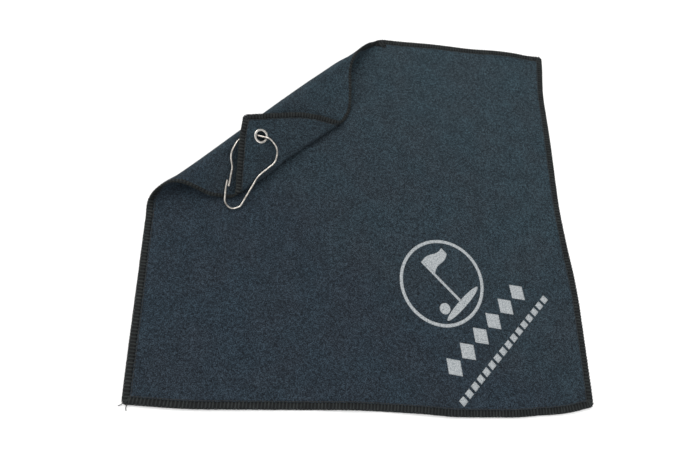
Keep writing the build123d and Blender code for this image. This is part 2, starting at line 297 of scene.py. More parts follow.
def round_corner(x, y):
    """Pull the points of the square outline onto its rounded corners."""
    half = np.array([TOWEL_WIDTH / 2, TOWEL_DEPTH / 2]) - CORNER_RADIUS
    px = np.abs(x) - half[0]
    py = np.abs(y) - half[1]
    both = (px > 0) & (py > 0)
    length = np.hypot(px, py) + 1e-9
    square = np.maximum(px, py) + 1e-9
    pull = np.where(both, square / length, 1.0)
    x = np.where(both, np.sign(x) * (half[0] + px * pull), x)
    y = np.where(both, np.sign(y) * (half[1] + py * pull), y)
    return x, y


def grid_faces(columns, rows, keep, seam_side, seam):
    """Quads of a columns by rows grid on one side of the diagonal i + j = seam, with triangles
    along it. seam_side is 1 beyond the diagonal and -1 before it."""
    i, j = np.meshgrid(np.arange(columns), np.arange(rows), indexing="ij")
    at = lambda a, b: a * (rows + 1) + b
    inside = i + j >= seam if seam_side > 0 else i + j + 2 <= seam
    cut = i + j == seam - 1
    a, b = i[inside & keep], j[inside & keep]
    quads = np.stack([at(a, b), at(a, b + 1), at(a + 1, b + 1), at(a + 1, b)], -1)
    a, b = i[cut & keep], j[cut & keep]
    if seam_side > 0:
        tris = np.stack([at(a + 1, b), at(a, b + 1), at(a + 1, b + 1)], -1)
    else:
        tris = np.stack([at(a, b), at(a, b + 1), at(a + 1, b)], -1)
    return quads, tris


def compact(x, y, faces):
    """Drop the grid points that no face uses."""
    used = np.unique(np.concatenate([f.ravel() for f in faces]))
    index = np.full(len(x), -1)
    index[used] = np.arange(len(used))
    return x[used], y[used], [index[f] for f in faces]


def eyelet_flat():
    """Where the eyelet's centre is on the flat towel: the inverse of middle() on the tip."""
    folded = BEND_END + EYELET_UP_TIP
    left = curve_through(folded, REACH_AT, REACH_LEFT)
    right = curve_through(folded, REACH_AT, REACH_RIGHT)
    u = FOLD_START - folded / FOLD_EASE
    v = (EYELET_ALONG_FOLD - 0.5 * (left + right)) / (0.5 * (right - left)) * u
    return -TOWEL_WIDTH / 2 + (u + v) / ROOT_2, TOWEL_DEPTH / 2 + (v - u) / ROOT_2


def flat_cloth():
    """The lying cloth with the lower quarter of the roll, on a square grid."""
    columns = int(TOWEL_WIDTH / PANEL_STEP)
    rows = int(TOWEL_DEPTH / PANEL_STEP)
    i, j = np.meshgrid(np.arange(columns + 1), np.arange(rows + 1), indexing="ij")
    x = (i * PANEL_STEP - TOWEL_WIDTH / 2).ravel()
    y = (TOWEL_DEPTH / 2 - j * PANEL_STEP).ravel()
    faces = grid_faces(columns, rows, np.ones((columns, rows), bool), 1, SEAM_STEPS)
    x, y = round_corner(x, y)
    x, y, faces = compact(x, y, faces)
    return thick_sheet("towel_cloth_flat", x, y, faces, HALF_CLOTH, -HALF_CLOTH)


def corner_cloth():
    """The rest of the roll, the flap, the bend and the tip, with the hole for the eyelet."""
    seam = int(SEAM_STEPS * PANEL_STEP / CORNER_STEP)
    i, j = np.meshgrid(np.arange(seam + 1), np.arange(seam + 1), indexing="ij")
    x = (i * CORNER_STEP - TOWEL_WIDTH / 2).ravel()
    y = (TOWEL_DEPTH / 2 - j * CORNER_STEP).ravel()
    x, y = round_corner(x, y)
    centre = middle(*eyelet_flat())
    away = np.linalg.norm(middle(x, y) - centre, axis=-1).reshape(seam + 1, seam + 1)
    clear = np.minimum.reduce([away[:-1, :-1], away[1:, :-1], away[:-1, 1:], away[1:, 1:]])
    faces = grid_faces(seam, seam, clear > EYELET_HOLE_RADIUS + 0.6, -1, seam)
    x, y, faces = compact(x, y, faces)
    return thick_sheet("towel_cloth_corner", x, y, faces, HALF_CLOTH, -HALF_CLOTH)


def side_line(side):
    """Flat points along one side of the towel at fine steps, and the direction inwards."""
    half_w = TOWEL_WIDTH / 2
    half_d = TOWEL_DEPTH / 2
    r = CORNER_RADIUS
    start, end, inwards = {
        "bottom": ((-half_w + r, -half_d), (half_w - r, -half_d), (0, 1)),
        "right": ((half_w, -half_d + r), (half_w, half_d - r), (-1, 0)),
        "top": ((half_w - r, half_d), (-half_w + r, half_d), (0, -1)),
        "left": ((-half_w, half_d - r), (-half_w, -half_d + r), (1, 0)),
    }[side]
    t = np.linspace(0, 1, 1600)[:, None]
    line = np.array(start) * (1 - t) + np.array(end) * t
    direction = np.tile(np.array(inwards, float), (len(t), 1))
    turn = np.linspace(0, math.pi / 2, 40)[1:, None]
    out = -np.array(inwards, float)
    ahead = (np.array(end) - np.array(start)) / np.linalg.norm(np.array(end) - np.array(start))
    centre = np.array(end) - out * r
    arc = centre + r * (out * np.cos(turn) + ahead * np.sin(turn))
    arc_in = -(out * np.cos(turn) + ahead * np.sin(turn))
    return np.concatenate([line, arc]), np.concatenate([direction, arc_in])


def laid_change(place, direction):
    """How the folded cloth moves for one millimetre of flat cloth in a direction, just inside."""
    return middle(*(place + direction).T) - middle(*place.T)


def stitch_places(side):
    """Evenly spaced stitch centres along one side, measured on the folded cloth, so that the
    pitch stays the same over the folds. Gives the flat points, the flat step that is one
    millimetre square to the folded edge, the forward direction, and flat per folded length."""
    line, inwards = side_line(side)
    laid = middle(line[:, 0], line[:, 1])
    length = np.concatenate([[0], np.cumsum(np.linalg.norm(np.diff(laid, axis=0), axis=1))])
    count = int(length[-1] / STITCH_PITCH)
    at = (np.arange(count) + 0.5) * length[-1] / count
    pick = lambda values: np.stack([np.interp(at, length, values[:, k]) for k in range(2)], -1)
    place = pick(line)
    inside = pick(inwards)
    inside /= np.linalg.norm(inside, axis=1, keepdims=True)
    ahead = np.stack([inside[:, 1], -inside[:, 0]], -1)
    order = np.arange(len(length))
    flat_step = np.interp(at + 0.5, length, order) - np.interp(at - 0.5, length, order)
    steps = np.concatenate([[0], np.cumsum(np.linalg.norm(np.diff(line, axis=0), axis=1))])
    per_index = np.interp(np.interp(at, length, order), np.arange(len(steps) - 1), np.diff(steps))
    laid_ahead = laid_change(place, ahead)
    laid_inside = laid_change(place, inside)
    lean = (laid_ahead * laid_inside).sum(1, keepdims=True) / (laid_ahead**2).sum(1, keepdims=True)
    depth = np.linalg.norm(laid_inside - laid_ahead * lean, axis=1, keepdims=True)
    narrower = 1 - TIP_BAND_NARROWER * (from_corner(*place.T)[:, None] < TIP_BAND_FROM_CORNER)
    return place, (inside - ahead * lean) / depth * narrower, ahead, flat_step * per_index


def tubes(paths, direction, width, thickness, sides):
    """Threads along many paths at once. paths is (n, m, 3) as flat x, flat y and height. Each ring is
    an ellipse: width along direction, thickness square to it and to the thread. The ends are closed."""
    n, m, _ = paths.shape
    along = np.gradient(paths, axis=1)
    along /= np.linalg.norm(along, axis=-1, keepdims=True) + 1e-9
    broad = direction[:, None, :] - along * (direction[:, None, :] * along).sum(-1, keepdims=True)
    broad /= np.linalg.norm(broad, axis=-1, keepdims=True) + 1e-9
    thin = np.cross(along, broad)
    angle = np.arange(sides) / sides * 2 * math.pi
    half_width = (np.asarray(width) * np.ones(n) / 2)[:, None, None, None]
    ring = paths[:, :, None, :] + broad[:, :, None, :] * half_width * np.cos(angle)[:, None]
    ring = ring + thin[:, :, None, :] * (thickness / 2) * np.sin(angle)[:, None]
    i, j, k = np.meshgrid(np.arange(n), np.arange(m - 1), np.arange(sides), indexing="ij")
    at = lambda a, b, c: (a * m + b) * sides + c % sides
    quads = np.stack([at(i, j, k), at(i, j, k + 1), at(i, j + 1, k + 1), at(i, j + 1, k)], -1)
    each = np.arange(n)[:, None] * m * sides
    first = each + np.arange(sides)[::-1]
    last = each + (m - 1) * sides + np.arange(sides)
    return ring.reshape(-1, 3), [quads.reshape(-1, 4), first, last]


class Edge:
    """Evenly spaced stitch places along one side, with their inward and forward directions and how
    much flat cloth there is to one millimetre of folded cloth."""

    def __init__(self, place, inside, ahead, spread):
        self.place = place
        self.inside = inside
        self.ahead = ahead
        self.spread = spread

    def __len__(self):
        return len(self.place)

    def part(self, keep):
        return Edge(self.place[keep], self.inside[keep], self.ahead[keep], self.spread[keep])

    def paths(self, inwards, along, height):
        """Thread paths: how far in from the edge, along it and off the cloth's middle."""
        flat = self.place[:, None, :] + self.inside[:, None, :] * inwards[..., None]
        flat = flat + self.ahead[:, None, :] * (along * self.spread[:, None])[..., None]
        height = np.broadcast_to(height, flat.shape[:2])
        return np.concatenate([flat, height[..., None]], -1)

    def direction(self, flat):
        return np.concatenate([flat, np.zeros((len(self), 1))], -1)


def looper_threads(edge, rng):
    """One flattened strand for each stitch, from the needle row over the rim and back underneath,
    slightly slanted and a little uneven."""
    inwards = np.array([5.2, 3.4, 1.6, 0.2, -0.35, -0.35, 0.2, 1.0, 1.7, 2.3])
    height = np.array([0.82, 1.06, 1.12, 0.9, 0.4, -0.3, -0.78, -0.93, -0.92, -0.74])
    slant = np.linspace(0.6, -0.6, len(inwards))
    n = len(edge)
    inwards = inwards + (inwards > 3) * rng.normal(0, 0.22, (n, 1))
    along = slant + rng.normal(0, 0.15, (n, 1))
    height = height * (1 + rng.uniform(-0.05, 0.02, (n, 1)))
    return tubes(edge.paths(inwards, along, height), edge.direction(edge.ahead), 1.7 * edge.spread, 0.44, 5)


def rim_chain(edge, rng):
    """The chain that the loopers make on the rim: one slanted link from each stitch to the next."""
    t = np.linspace(-0.62, 0.62, 6)
    n = len(edge)
    inwards = (-0.62 - 0.12 * np.cos(t * math.pi)) * (1 + rng.normal(0, 0.08, (n, 1)))
    along = np.tile(t * STITCH_PITCH, (n, 1))
    height = 0.5 * np.sin(t * math.pi * 0.8)
    return tubes(edge.paths(inwards, along, height), edge.direction(edge.inside), 0.5, 0.5, 5)


def needle_threads(edge, rng):
    """Straight stitches on the face of the cloth: a short thread for each pitch along the edge,
    which dips into the cloth at both ends."""
    t = np.linspace(-0.5, 0.5, 6)
    n = len(edge)
    inwards = np.tile(5.75 + rng.normal(0, 0.09, (n, 1)), (1, len(t)))
    along = np.tile(t * STITCH_PITCH * 0.92, (n, 1))
    height = HALF_CLOTH - 0.02 + 0.24 * np.cos(t * math.pi)
    return tubes(edge.paths(inwards, along, height), edge.direction(edge.inside), 0.6, 0.34, 5)


def thread_mat(edge):
    """The mat of thread under the loops: a closed C profile carried along the edge."""
    inwards = np.array([5.0, 3.2, 1.2, 0.1, -0.3, -0.3, 0.1, 0.8, 1.5, 2.1, 1.8, 0.6, 0.6, 4.4])
    height = np.array([0.81, 0.92, 0.96, 0.8, 0.4, -0.4, -0.8, -0.94, -0.92, -0.81, -0.6, -0.5, 0.5, 0.6])
    half = 0.5 * STITCH_PITCH * edge.spread[:, None]
    place = np.concatenate([edge.place - edge.ahead * half, edge.place[-1:] + edge.ahead[-1:] * half[-1:]])
    inside = np.concatenate([edge.inside, edge.inside[-1:]])
    n, m = len(place), len(inwards)
    flat = place[:, None, :] + inside[:, None, :] * inwards[None, :, None]
    points = np.concatenate([flat, np.repeat(height[None, :, None], n, 0)], -1).reshape(-1, 3)
    i, k = np.meshgrid(np.arange(n - 1), np.arange(m), indexing="ij")
    at = lambda a, c: a * m + c % m
    quads = np.stack([at(i, k), at(i, k + 1), at(i + 1, k + 1), at(i + 1, k)], -1).reshape(-1, 4)
    first = np.arange(m)[None, ::-1]
    last = (n - 1) * m + np.arange(m)[None, :]
    return points, [quads, first, last]


def join(parts):
    """One set of points and faces from several."""
    points = []
    faces = []
    count = 0
    for part_points, part_faces in parts:
        points.append(part_points)
        faces.extend([f + count for f in part_faces])
        count += len(part_points)
    return np.concatenate(points), faces


def laid_object(name, parts, materials):
    """An object from parts given on the flat towel, carried over the folds, with a material for
    each part."""
    points, faces = join(parts)
    world = lay(points[:, 0], points[:, 1], points[:, 2])
    piece = make_object(name, world, faces, points[:, :2])
    counts = [sum(len(f) for f in part_faces) for _, part_faces in parts]
    slots = np.repeat(np.arange(len(parts)), counts).astype(np.int32)
    piece.data.polygons.foreach_set("material_index", slots)
    for material in materials:
        piece.data.materials.append(material)
    return piece


def thread_tails():
    """Two short ends of thread left at the front left corner, where the edging was started."""
    t = np.linspace(0, 1, 7)[:, None]
    tails = []
    runs = (((-199, -184.5), (-203.2, -188.6), 1.1), ((-195.5, -186.8), (-196.6, -192.2), -0.9))
    for start, end, bow in runs:
        run = np.array(end) - np.array(start)
        side = np.array([-run[1], run[0]]) / np.linalg.norm(run)
        flat = np.array(start) + run * t + side * bow * np.sin(t * math.pi)
        tails.append(np.concatenate([flat, 0.5 - 0.9 * t], 1))
    across = np.array([[0.0, 0.0, 1.0]] * len(tails))
    return tubes(np.array(tails), across, 0.7, 0.7, 8)


def side_edge(side):
    return Edge(*stitch_places(side))


def edge_pieces(side, body_part, suffix, node_suffix):
    """The edging and the needle rows of one stretch of one side, each as its own piece."""
    seed = {"bottom": 11, "right": 12, "top": 13, "left": 14}[side] + (10 if suffix else 0)
    rng = np.random.default_rng(seed)
    edging = [thread_mat(body_part), looper_threads(body_part, rng)]
    # The mat takes the darker thread: painted shade between the loops
    edging = laid_object(f"overlock_edging_{side}{suffix}", edging, (THREAD_SHADE, THREAD))
    chain = [rim_chain(body_part, rng)]
    if side == "bottom":
        chain.append(thread_tails())
    # The rim chain takes the lighter thread: a painted highlight along the rim
    chain = laid_object(f"overlock_rim_chain_{side}{suffix}", chain, [RIM_HIGHLIGHT_THREAD] * len(chain))
    rows = laid_object(f"needle_row_{side}{suffix}", [needle_threads(body_part, rng)], [NEEDLE])
    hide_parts(f"overlock_{side}{node_suffix}")
    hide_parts(f"needle_stitches_{side}{node_suffix}")
    return edging, chain, rows


def wire_path(points, radii, step):
    """Points along straight runs joined by arcs: at each corner the arc of the given radius starts
    and ends radius times tan(half the turn) away from it."""
    points = [Vector(p) for p in points]
    path = [points[0]]
    for before, corner, after, radius in zip(points, points[1:], points[2:], radii):
        back = (before - corner).normalized()
        on = (after - corner).normalized()
        half_turn = (math.pi - back.angle(on)) / 2
        reach = radius * math.tan(half_turn)
        centre = corner + (back + on).normalized() * (radius / math.cos(half_turn))
        start = corner + back * reach
        spoke = start - centre
        axis = (-back).cross(on).normalized()
        turns = max(4, int(2 * half_turn * radius / step))
        for k in range(turns + 1):
            path.append(centre + Matrix.Rotation(2 * half_turn * k / turns, 3, axis) @ spoke)
    path.append(points[-1])
    path = np.array([tuple(p) for p in path])
    length = np.concatenate([[0], np.cumsum(np.linalg.norm(np.diff(path, axis=0), axis=1))])
    at = np.linspace(0, length[-1], int(length[-1] / step) + 1)
    return np.stack([np.interp(at, length, path[:, k]) for k in range(3)], -1)


def wire_object(name, path, frame_axes, origin, round_start, round_end):
    """Round wire along a path in the hook's frame. The radius at a rounded end follows a half
    circle, and every ring is square to the path."""
    sides = 16
    tangent = np.gradient(path, axis=0)
    tangent /= np.linalg.norm(tangent, axis=1, keepdims=True)
    up = np.array([0.0, 0.0, 1.0])
    side = np.cross(tangent, up)
    side /= np.linalg.norm(side, axis=1, keepdims=True)
    top = np.cross(side, tangent)
    dome = np.sin(np.linspace(0, math.pi / 2, 7))
    rings = path
    radius = np.full(len(path), WIRE_RADIUS)
    if round_start:
        cap = path[0] + tangent[0] * (WIRE_RADIUS * (1 - np.cos(np.linspace(0, math.pi / 2, 7))))[:, None]
        beyond = np.linalg.norm(path - path[0], axis=1) > WIRE_RADIUS
        rings, radius, side, top = prepend(cap, dome, rings, radius, side, top, beyond)
    if round_end:
        cap = path[-1] - tangent[-1] * (WIRE_RADIUS * (1 - np.cos(np.linspace(0, math.pi / 2, 7))))[:, None]
        beyond = np.linalg.norm(rings - path[-1], axis=1) > WIRE_RADIUS
        back = prepend(cap, dome, rings[::-1], radius[::-1], side[::-1], top[::-1], beyond[::-1])
        rings, radius, side, top = (values[::-1] for values in back)
    angle = np.arange(sides) / sides * 2 * math.pi
    points = rings[:, None] + radius[:, None, None] * (
        side[:, None] * np.cos(angle)[:, None] + top[:, None] * np.sin(angle)[:, None]
    )
    count = len(rings)
    i, k = np.meshgrid(np.arange(count - 1), np.arange(sides), indexing="ij")
    at = lambda a, c: a * sides + c % sides
    quads = np.stack([at(i, k), at(i + 1, k), at(i + 1, k + 1), at(i, k + 1)], -1).reshape(-1, 4)
    first = np.arange(sides)[None, :]
    last = ((count - 1) * sides + np.arange(sides)[::-1])[None, :]
    world = origin + points.reshape(-1, 3) @ frame_axes
    length = np.concatenate([[0], np.cumsum(np.linalg.norm(np.diff(rings, axis=0), axis=1))])
    uv = np.stack([np.repeat(length, sides), np.tile(angle * WIRE_RADIUS, count)], -1)
    return make_object(name, world, [quads, first, last], uv)


def prepend(cap, dome, rings, radius, side, top, beyond):
    """Put the rings of a rounded end in front of a wire's own rings."""
    small = np.maximum(dome * WIRE_RADIUS, 0.02)
    rings = np.concatenate([cap, rings[beyond]])
    radius = np.concatenate([small, radius[beyond]])
    side = np.concatenate([np.repeat(side[:1], len(cap), 0), side[beyond]])
    top = np.concatenate([np.repeat(top[:1], len(cap), 0), top[beyond]])
    return rings, radius, side, top


def turned(name, profile, origin, axes, segments):
    """A closed profile of (radius, height) points turned round the third axis."""
    profile = np.array(profile)
    m = len(profile)
    angle = np.arange(segments) / segments * 2 * math.pi
    local = np.stack(
        [
            profile[None, :, 0] * np.cos(angle)[:, None],
            profile[None, :, 0] * np.sin(angle)[:, None],
            np.repeat(profile[None, :, 1], segments, 0),
        ],
        -1,
    )
    i, k = np.meshgrid(np.arange(segments), np.arange(m), indexing="ij")
    at = lambda a, c: (a % segments) * m + c % m
    quads = np.stack([at(i, k), at(i + 1, k), at(i + 1, k + 1), at(i, k + 1)], -1).reshape(-1, 4)
    world = origin + local.reshape(-1, 3) @ axes
    return make_object(name, world, [quads])


def eyelet_frame():
    """The eyelet's centre on the cloth's middle, and its axes: along the fold, up the tip, out."""
    x, y = eyelet_flat()
    centre = middle(x, y)
    out = lay(x, y, 1.0) - centre
    along = np.array([1.0, 1.0, 0.0]) / ROOT_2
    along = along - out * (along @ out)
    along /= np.linalg.norm(along)
    return centre, np.array([along, np.cross(out, along), out])


def arc(centre_r, centre_h, radius, start, end, count):
    """Profile points on an arc, in degrees from the outward direction towards the top."""
    angle = np.radians(np.linspace(start, end, count))
    return list(zip(centre_r + radius * np.cos(angle), centre_h + radius * np.sin(angle)))


def eyelet():
    """The pressed eyelet: a tube whose face end rolls over into a domed flange and whose back end
    curls over the washer."""
    centre, axes = eyelet_frame()
    wall = 0.3
    tube = EYELET_HOLE_RADIUS + wall
    back = -(HALF_CLOTH + 0.4)
    profile = [(tube, back), (tube, HALF_CLOTH), (EYELET_FLANGE_RADIUS - 0.15, HALF_CLOTH - 0.05)]
    profile += arc(EYELET_FLANGE_RADIUS - 0.2, HALF_CLOTH + 0.15, 0.2, -40, 60, 5)
    profile += [(6.6, 1.19), (6.0, 1.28), (5.5, 1.31)]
    profile += arc(5.0, 0.91, 0.4, 85, 180, 7)
    profile += [(EYELET_HOLE_RADIUS, 0.4), (EYELET_HOLE_RADIUS, back + 0.1)]
    profile += arc(5.05, back - 0.02, 0.42, 180, 350, 8)
    return turned("eyelet", profile, centre, axes, 96)


def backing_washer():
    """The plain washer behind the cloth, with both rims eased."""
    centre, axes = eyelet_frame()
    low = -(HALF_CLOTH + 0.4)
    ease_rim = 0.12
    inner = EYELET_HOLE_RADIUS + 0.42
    outer = 6.6
    profile = [(inner, -HALF_CLOTH), (inner, low + ease_rim), (inner + ease_rim, low)]
    profile += [(outer - ease_rim, low), (outer, low + ease_rim), (outer, -HALF_CLOTH - ease_rim)]
    profile += [(outer - ease_rim, -HALF_CLOTH)]
    return turned("eyelet_backing_washer", profile[::-1], centre, axes, 96)


def hook_frame():
    """The hook's frame: origin in the eyelet, X level, Y up the slope that the hook lies on."""
    centre, _ = eyelet_frame()
    level = np.array([math.cos(HOOK_HEADING), math.sin(HOOK_HEADING), 0])
    lean = np.array([math.sin(HOOK_HEADING), -math.cos(HOOK_HEADING), 0]) * math.sin(HOOK_TILT)
    normal = lean + np.array([0, 0, math.cos(HOOK_TILT)])
    return centre, np.array([level, np.cross(normal, level), normal])


# The wire's corners in the hook's frame, from the free tip of the springy leg, past the split
# above the left shoulder, down through the eyelet and round to the catch
WIRE_CORNERS = (
    (-42.8, -34.3, 0),
    (-33.6, -18.6, 0),
    (-31.6, -7.0, 0),
    (-21.0, 2.45, 0),
    (-7.8, 5.2, -3.4),
    (6.6, -4.4, 3.0),
    (11.6, -16.0, 0.5),
    (4.5, -26.6, 0),
    (-14.4, -33.4, 0),
    (-39.4, -54.6, 0),
    (-48.0, -54.0, 0),
    (-51.0, -46.5, 0),
    (-46.2, -35.8, 0),
    (-41.8, -28.0, 0),
)
WIRE_BENDS = (12, 18, 12, 9, 8, 12, 11, 22, 7, 6, 8, 12)
WIRE_SPLIT = (-21.0, 2.1, 0)


def hook():
    """The hook's wire in two pieces that meet at the split: the stiff frame and the springy leg."""
    origin, axes = hook_frame()
    path = wire_path(WIRE_CORNERS, WIRE_BENDS, 0.5)
    split = int(np.argmin(np.linalg.norm(path - np.array(WIRE_SPLIT), axis=1)))
    leg = wire_object("hook_spring_leg", path[: split + 1], axes, origin, True, False)
    frame_wire = wire_object("hook_wire_frame", path[split:], axes, origin, False, True)
    split_at = origin + np.array(WIRE_SPLIT) @ axes
    leg_run = origin + path[split - 12] @ axes
    return frame_wire, leg, split_at * MM, leg_run * MM


# Printed motif: place of its centre on the towel, and its shapes about that centre
MOTIF_FROM_RIGHT = 134.0
MOTIF_FROM_BOTTOM = 110.0
RING_RADIUS = 40.0
RING_LINE = 3.0
DIAMONDS = 6
DIAMOND_ROW = 112.0
DIAMOND_WIDTH = 15.6
DIAMOND_HEIGHT = 20.0
DASHES = 16
DASH_ROW = 130.0
DASH_WIDTH = 5.7
DASH_HEIGHT = 6.0
MOTIF_TURN = math.radians(45)


def patch(across, along, columns, rows):
    """Grid of quads over a mapped unit square: across and along are functions of (s, t)."""
    s, t = np.meshgrid(np.linspace(0, 1, columns + 1), np.linspace(0, 1, rows + 1), indexing="ij")
    x = across(s, t).ravel()
    y = along(s, t).ravel()
    i, j = np.meshgrid(np.arange(columns), np.arange(rows), indexing="ij")
    at = lambda a, b: a * (rows + 1) + b
    quads = np.stack([at(i, j), at(i + 1, j), at(i + 1, j + 1), at(i, j + 1)], -1).reshape(-1, 4)
    return np.stack([x, y], -1), [quads]


def bar(centre_x, centre_y, width, height):
    """A rectangle."""
    across = lambda s, t: centre_x + width * (s - 0.5)
    along = lambda s, t: centre_y + height * (t - 0.5)
    return patch(across, along, max(2, int(width / 1.5)), max(2, int(height / 1.5)))


def disc(centre_x, centre_y, radius_x, radius_y):
    """A disc from a square grid, each square ring of it moved out to a circle."""
    def unit(s, t):
        a, b = 2 * s - 1, 2 * t - 1
        return a * np.sqrt(1 - b * b / 2), b * np.sqrt(1 - a * a / 2)
    across = lambda s, t: centre_x + radius_x * unit(s, t)[0]
    along = lambda s, t: centre_y + radius_y * unit(s, t)[1]
    return patch(across, along, 12, 12)


def diamond(centre_x, centre_y, width, height):
    """A lozenge: a square turned on its point and stretched."""
    across = lambda s, t: centre_x + width * 0.5 * (s - t)
    along = lambda s, t: centre_y + height * 0.5 * (s + t - 1)
    return patch(across, along, 10, 10)


def ring(radius, line):
    """A circle of the given line width, as one strip closed on itself."""
    count = 160
    angle = np.arange(count) / count * 2 * math.pi
    radii = np.linspace(radius - line, radius, 4)
    x = (np.cos(angle)[:, None] * radii).ravel()
    y = (np.sin(angle)[:, None] * radii).ravel()
    i, k = np.meshgrid(np.arange(count), np.arange(3), indexing="ij")
    at = lambda a, c: (a % count) * 4 + c
    quads = np.stack([at(i, k), at(i, k + 1), at(i + 1, k + 1), at(i + 1, k)], -1).reshape(-1, 4)
    return np.stack([x, y], -1), [quads]


def printed_motif():
    """A flag on a putting green inside a ring, with a row of diamonds and a row of dashes."""
    shapes = [ring(RING_RADIUS, RING_LINE)]
    shapes.append(bar(0.0, 1.4, 2.4, 49.2))
    flag_x = lambda s, t: 1.1 + 22.9 * s
    flag_y = lambda s, t: 18.0 + 1.2 * np.sin(s * 2 * math.pi) + 16.0 * (t - 0.5) * (1 - 0.55 * s)
    shapes.append(patch(flag_x, flag_y, 18, 12))
    shapes.append(disc(0.0, -26.0, 22.0, 3.5))
    shapes.append(disc(-16.0, -17.5, 5.0, 5.0))
    for k in range(DIAMONDS):
        along = DIAMOND_ROW * ((k + 0.5) / DIAMONDS - 0.5)
        shapes.append(diamond(along, -56.0, DIAMOND_WIDTH, DIAMOND_HEIGHT))
    for k in range(DASHES):
        along = DASH_ROW * ((k + 0.5) / DASHES - 0.5)
        shapes.append(bar(along, -79.0, DASH_WIDTH, DASH_HEIGHT))
    points, faces = join(shapes)
    cosine = math.cos(MOTIF_TURN)
    sine = math.sin(MOTIF_TURN)
    turn = np.array([[cosine, sine], [-sine, cosine]])
    centre = np.array([TOWEL_WIDTH / 2 - MOTIF_FROM_RIGHT, -TOWEL_DEPTH / 2 + MOTIF_FROM_BOTTOM])
    flat = points @ turn + centre
    return thick_sheet("printed_motif_ink", flat[:, 0], flat[:, 1], faces, INK_TOP, INK_UNDER)


# Materials


def linear(red, green, blue):
    """Shader colour from 0 to 255 display values."""
    values = np.array([red, green, blue]) / 255
    values = np.where(values <= 0.04045, values / 12.92, ((values + 0.055) / 1.055) ** 2.4)
    return (*values.tolist(), 1.0)


class Finish:
    """A procedural material being built: its node tree and its shader."""

    def __init__(self, name, roughness, metallic=0.0):
        self.material = bpy.data.materials.new(name)
        self.material.use_nodes = True
        self.tree = self.material.node_tree
        self.shader = self.tree.nodes["Principled BSDF"]
        self.shader.inputs["Roughness"].default_value = roughness
        self.shader.inputs["Metallic"].default_value = metallic
        self.coordinates = self.tree.nodes.new("ShaderNodeTexCoord")

    def link(self, source, target):
        self.tree.links.new(source, target)

    def scaled(self, source, scale, turn=0.0):
        """The chosen coordinates in units of 1/scale metres, turned about the surface's normal."""
        mapping = self.tree.nodes.new("ShaderNodeMapping")
        mapping.inputs["Scale"].default_value = (scale[0], scale[1], scale[2])
        mapping.inputs["Rotation"].default_value = (0, 0, turn)
        self.link(self.coordinates.outputs[source], mapping.inputs["Vector"])
        return mapping.outputs["Vector"]

    def noise(self, vector, scale, detail=2.0, roughness=0.5):
        node = self.tree.nodes.new("ShaderNodeTexNoise")
        node.inputs["Scale"].default_value = scale
        node.inputs["Detail"].default_value = detail
        node.inputs["Roughness"].default_value = roughness
        self.link(vector, node.inputs["Vector"])
        return node.outputs["Fac"]

    def cells(self, vector, scale):
        node = self.tree.nodes.new("ShaderNodeTexVoronoi")
        node.inputs["Scale"].default_value = scale
        self.link(vector, node.inputs["Vector"])
        return node.outputs["Distance"]

    def wave(self, vector, scale, distortion):
        node = self.tree.nodes.new("ShaderNodeTexWave")
        node.inputs["Scale"].default_value = scale
        node.inputs["Distortion"].default_value = distortion
        self.link(vector, node.inputs["Vector"])
        return node.outputs["Fac"]

    def math(self, operation, a, b):
        node = self.tree.nodes.new("ShaderNodeMath")
        node.operation = operation
        for socket, value in zip(node.inputs, (a, b)):
            if isinstance(value, (int, float)):
                socket.default_value = value
            else:
                self.link(value, socket)
        return node.outputs[0]

    def dot(self, vector, direction):
        """How far a place lies along a direction."""
        node = self.tree.nodes.new("ShaderNodeVectorMath")
        node.operation = "DOT_PRODUCT"
        node.inputs[1].default_value = direction
        self.link(vector, node.inputs[0])
        return node.outputs["Value"]

    def ramp(self, factor, stops):
        """Colours at the given places from 0 to 1."""
        node = self.tree.nodes.new("ShaderNodeValToRGB")
        elements = node.color_ramp.elements
        while len(elements) < len(stops):
            elements.new(0.5)
        for element, (place, colour) in zip(elements, stops):
            element.position = place
            element.color = colour
        self.link(factor, node.inputs["Fac"])
        return node.outputs["Color"]

    def mix(self, factor, a, b, blend="MIX"):
        node = self.tree.nodes.new("ShaderNodeMix")
        node.data_type = "RGBA"
        node.blend_type = blend
        if isinstance(factor, (int, float)):
            node.inputs[0].default_value = factor
        else:
            self.link(factor, node.inputs[0])
        for socket, value in ((node.inputs[6], a), (node.inputs[7], b)):
            if isinstance(value, tuple):
                socket.default_value = value
            else:
                self.link(value, socket)
        return node.outputs[2]

    def colour(self, source):
        self.link(source, self.shader.inputs["Base Color"])

    def rough(self, source, low, high):
        node = self.tree.nodes.new("ShaderNodeMapRange")
        node.inputs["To Min"].default_value = low
        node.inputs["To Max"].default_value = high
        self.link(source, node.inputs["Value"])
        self.link(node.outputs["Result"], self.shader.inputs["Roughness"])

    def bump(self, height, strength, distance):
        node = self.tree.nodes.new("ShaderNodeBump")
        node.inputs["Strength"].default_value = strength
        node.inputs["Distance"].default_value = distance
        self.link(height, node.inputs["Height"])
        self.link(node.outputs["Normal"], self.shader.inputs["Normal"])


MILLIMETRES = (1000.0, 1000.0, 1000.0)


